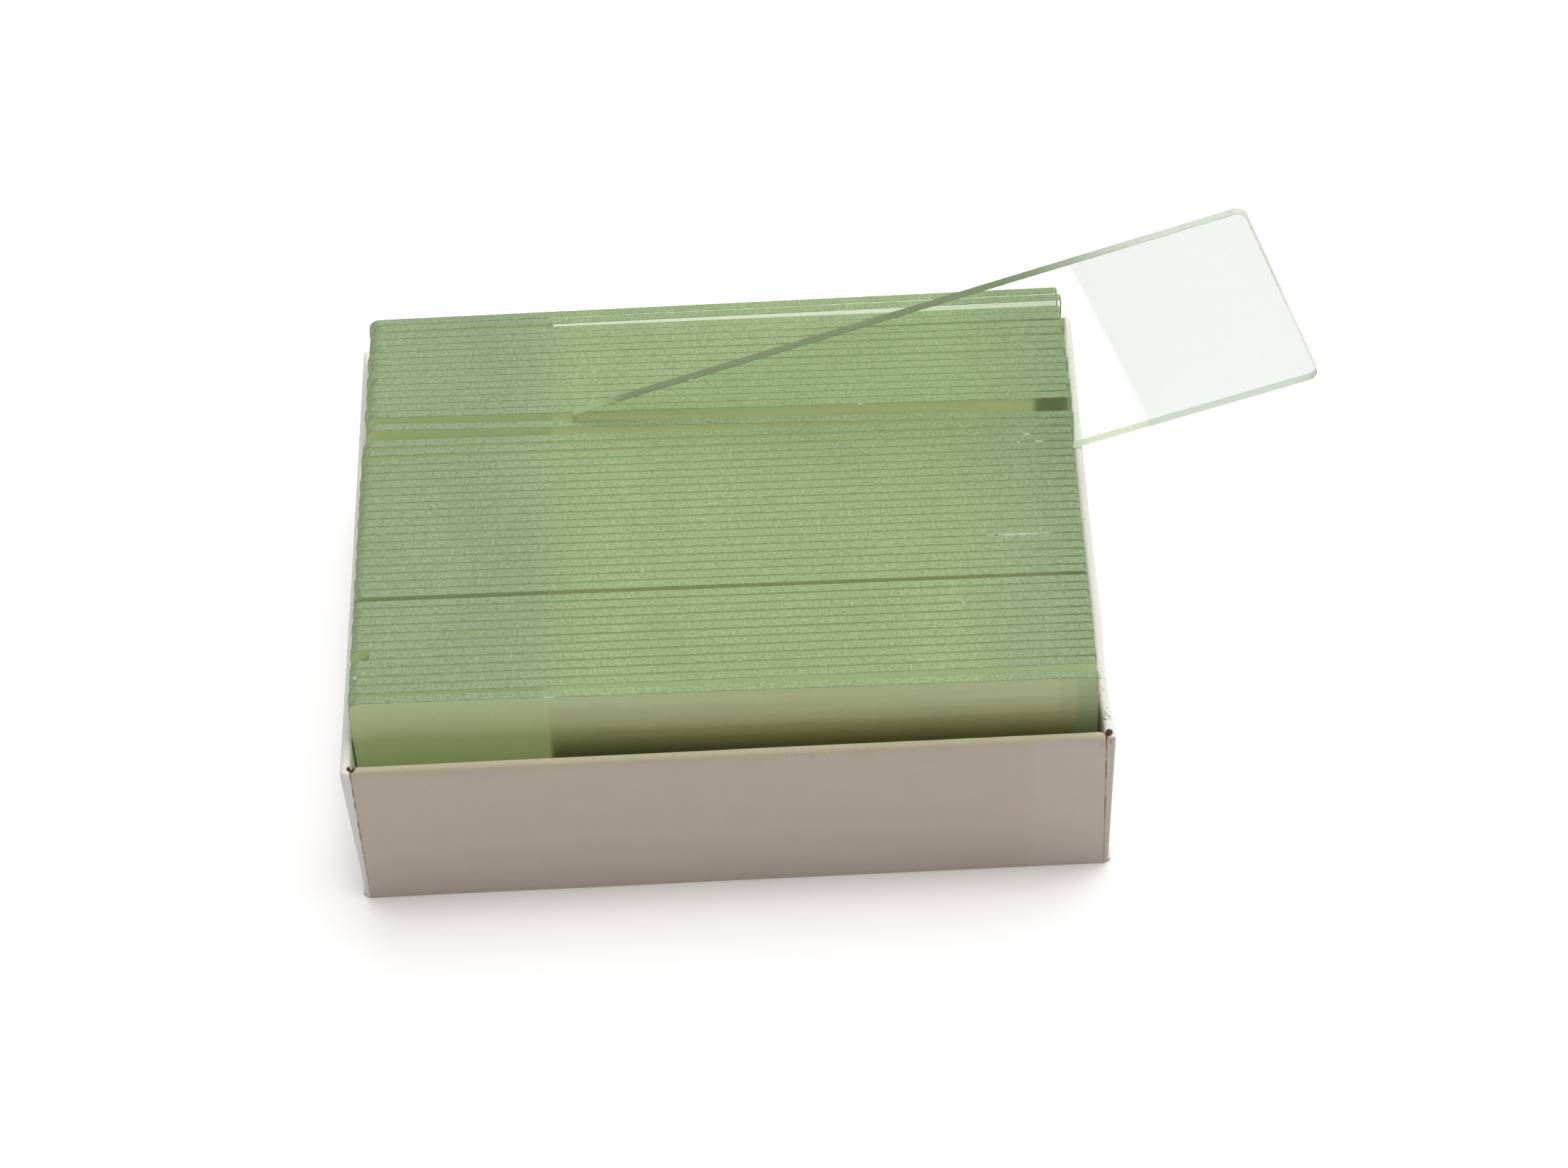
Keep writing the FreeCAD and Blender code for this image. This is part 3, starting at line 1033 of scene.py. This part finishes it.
def fold_plan(inside, outside, low, high):
    """A fold's section seen from above: a rounded outer corner, then straight inwards."""
    radius = min(CORNER_ROUNDING, abs(outside - inside), (high - low) * 0.6)
    end = math.copysign(1, outside)
    plan = [(inside, high), (inside, low)]
    for step in range(CORNER_STEPS):
        angle = math.pi / 2 * step / (CORNER_STEPS - 1)
        s = outside - end * radius * (1 - math.sin(angle))
        plan.append((s, low + radius * (1 - math.cos(angle))))
    plan.append((outside, high))
    return plan


def build_tray():
    walls = [
        Wall("front_wall", (1, 0, 0), (0, 1, 0), False, 1),
        Wall("back_wall", (1, 0, 0), (0, -1, 0), False, 2),
        Wall("left_wall", (0, 1, 0), (1, 0, 0), True, 3),
        Wall("right_wall", (0, 1, 0), (-1, 0, 0), True, 4),
    ]
    for wall in walls:
        # The front wall takes the board's shaded copy, which is painted shade.
        wall.build(SHADED_FRONT_MATERIALS if wall.node == "front_wall" else SIDE_MATERIALS)
    for node, part in frame["nodes"].items():
        if node == "tray_base" or node.endswith("_flap"):
            part.data.materials.clear()
            part.data.materials.append(SIDE_MATERIALS[0])


# ---- stage, light and camera ---------------------------------------------

def build_floor():
    """A plain pale surface with painted shade, a little warmer and darker, where the tray stands
    on it.
    """
    nodes = Nodes("pale_floor")
    cloud = nodes.noise(180.0, 2.0, 0.5)
    colour = nodes.mix(cloud, (0.90, 0.90, 0.90, 1), (0.88, 0.885, 0.89, 1))
    surface = nodes.principled(colour, 0.8, None, 0.1)
    glow = nodes.add("ShaderNodeEmission")
    contact = nodes.add("ShaderNodeAmbientOcclusion")
    contact.inputs["Distance"].default_value = CONTACT_REACH
    openness = contact.outputs["AO"]
    nodes.link(nodes.mix(openness, (1, 0.88, 0.80, 1), (1, 0.99, 0.985, 1)), glow.inputs["Color"])
    seen = nodes.add("ShaderNodeLightPath").outputs["Is Camera Ray"]
    extra = nodes.ramp(openness, 0.45, 0.80, *FLOOR_SEEN, smooth_step=False)
    seen = nodes.math("MULTIPLY", seen, extra)
    nodes.link(nodes.math("ADD", seen, FLOOR_GLOW), glow.inputs["Strength"])
    both = nodes.add("ShaderNodeAddShader")
    nodes.link(surface, both.inputs[0])
    nodes.link(glow.outputs[0], both.inputs[1])
    material = nodes.finish(both.outputs[0])
    mesh = bmesh.new()
    bmesh.ops.create_grid(mesh, x_segments=8, y_segments=8, size=FLOOR_REACH)
    data = bpy.data.meshes.new("floor")
    mesh.to_mesh(data)
    mesh.free()
    floor = add_piece("floor", data, [material])
    floor.location.z = -FLOOR_DROP


def build_light():
    world = bpy.data.worlds.new("studio")
    bpy.context.scene.world = world
    world.use_nodes = True
    background = world.node_tree.nodes["Background"]
    background.inputs["Color"].default_value = (0.97, 0.985, 1.0, 1)
    background.inputs["Strength"].default_value = SKY_STRENGTH
    data = bpy.data.lights.new("overhead", "AREA")
    data.shape = "DISK"
    data.size = LAMP_SIZE
    data.energy = LAMP_WATTS
    data.color = (1, 0.99, 0.97)
    lamp = bpy.data.objects.new("overhead", data)
    lamp.location = LAMP_PLACE
    lamp.rotation_mode = "QUATERNION"
    lamp.rotation_quaternion = (LAMP_TARGET - LAMP_PLACE).to_track_quat("-Z", "Y")
    bpy.context.scene.collection.objects.link(lamp)


def build_camera():
    forward = Vector((
        math.sin(CAMERA_YAW) * math.cos(CAMERA_DOWN),
        math.cos(CAMERA_YAW) * math.cos(CAMERA_DOWN),
        -math.sin(CAMERA_DOWN),
    ))
    level = Vector((math.cos(CAMERA_YAW), -math.sin(CAMERA_YAW), 0))
    below = forward.cross(level)
    right = level * math.cos(CAMERA_ROLL) + below * math.sin(CAMERA_ROLL)
    up = level * math.sin(CAMERA_ROLL) - below * math.cos(CAMERA_ROLL)
    data = bpy.data.cameras.new("camera")
    data.lens = CAMERA_LENS
    data.sensor_width = SENSOR_WIDTH
    data.clip_start = 0.01
    data.clip_end = 20
    camera = bpy.data.objects.new("camera", data)
    turn = Matrix((right, up, -forward)).transposed()
    camera.matrix_world = Matrix.Translation(CAMERA_PLACE * MM) @ turn.to_4x4()
    bpy.context.scene.collection.objects.link(camera)
    bpy.context.scene.camera = camera


build_slides()
build_tray()
build_floor()
build_light()
build_camera()
bpy.context.scene.view_settings.view_transform = "Standard"
